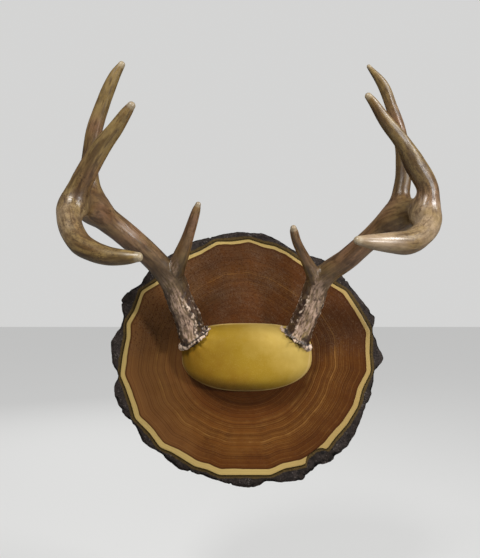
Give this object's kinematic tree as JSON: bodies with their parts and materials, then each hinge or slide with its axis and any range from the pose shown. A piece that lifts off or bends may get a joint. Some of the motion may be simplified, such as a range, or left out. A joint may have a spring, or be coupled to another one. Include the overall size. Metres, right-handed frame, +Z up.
{
  "type": "mounted deer antler pair",
  "caption": "Whitetail-style deer antlers on a wall plaque cut from a log with its bark on, with a leather-covered cap over the skull plate between them.",
  "frame": {"origin": "middle of the log slice's flat back, on the wall", "axes": "+Y into the wall, +Z up, +X to the right of someone who looks at the plaque"},
  "size_m": [0.3782, 0.2858, 0.4944],
  "materials": {
    "wood": "satin varnished end grain with a pale sapwood ring",
    "bark": "rough, furrowed bark",
    "leather": "golden suede-like leather",
    "antler": "antler bone, polished to a soft gloss, rough and dark at the base, pale at the tips",
    "steel": "plated steel"
  },
  "bodies": {
    "root": {"log_slice": "wood", "leather_cap": "leather", "left_lower_beam": "antler", "left_upper_beam": "antler", "left_brow_tine": "antler", "left_second_tine": "antler", "left_third_tine": "antler", "right_lower_beam": "antler", "right_upper_beam": "antler", "right_brow_tine": "antler", "right_second_tine": "antler", "right_third_tine": "antler", "left_cap_screw": "steel", "right_cap_screw": "steel", "sawtooth_hanger": "steel", "left_hanger_nail": "steel", "right_hanger_nail": "steel"}
  },
  "joints": []
}
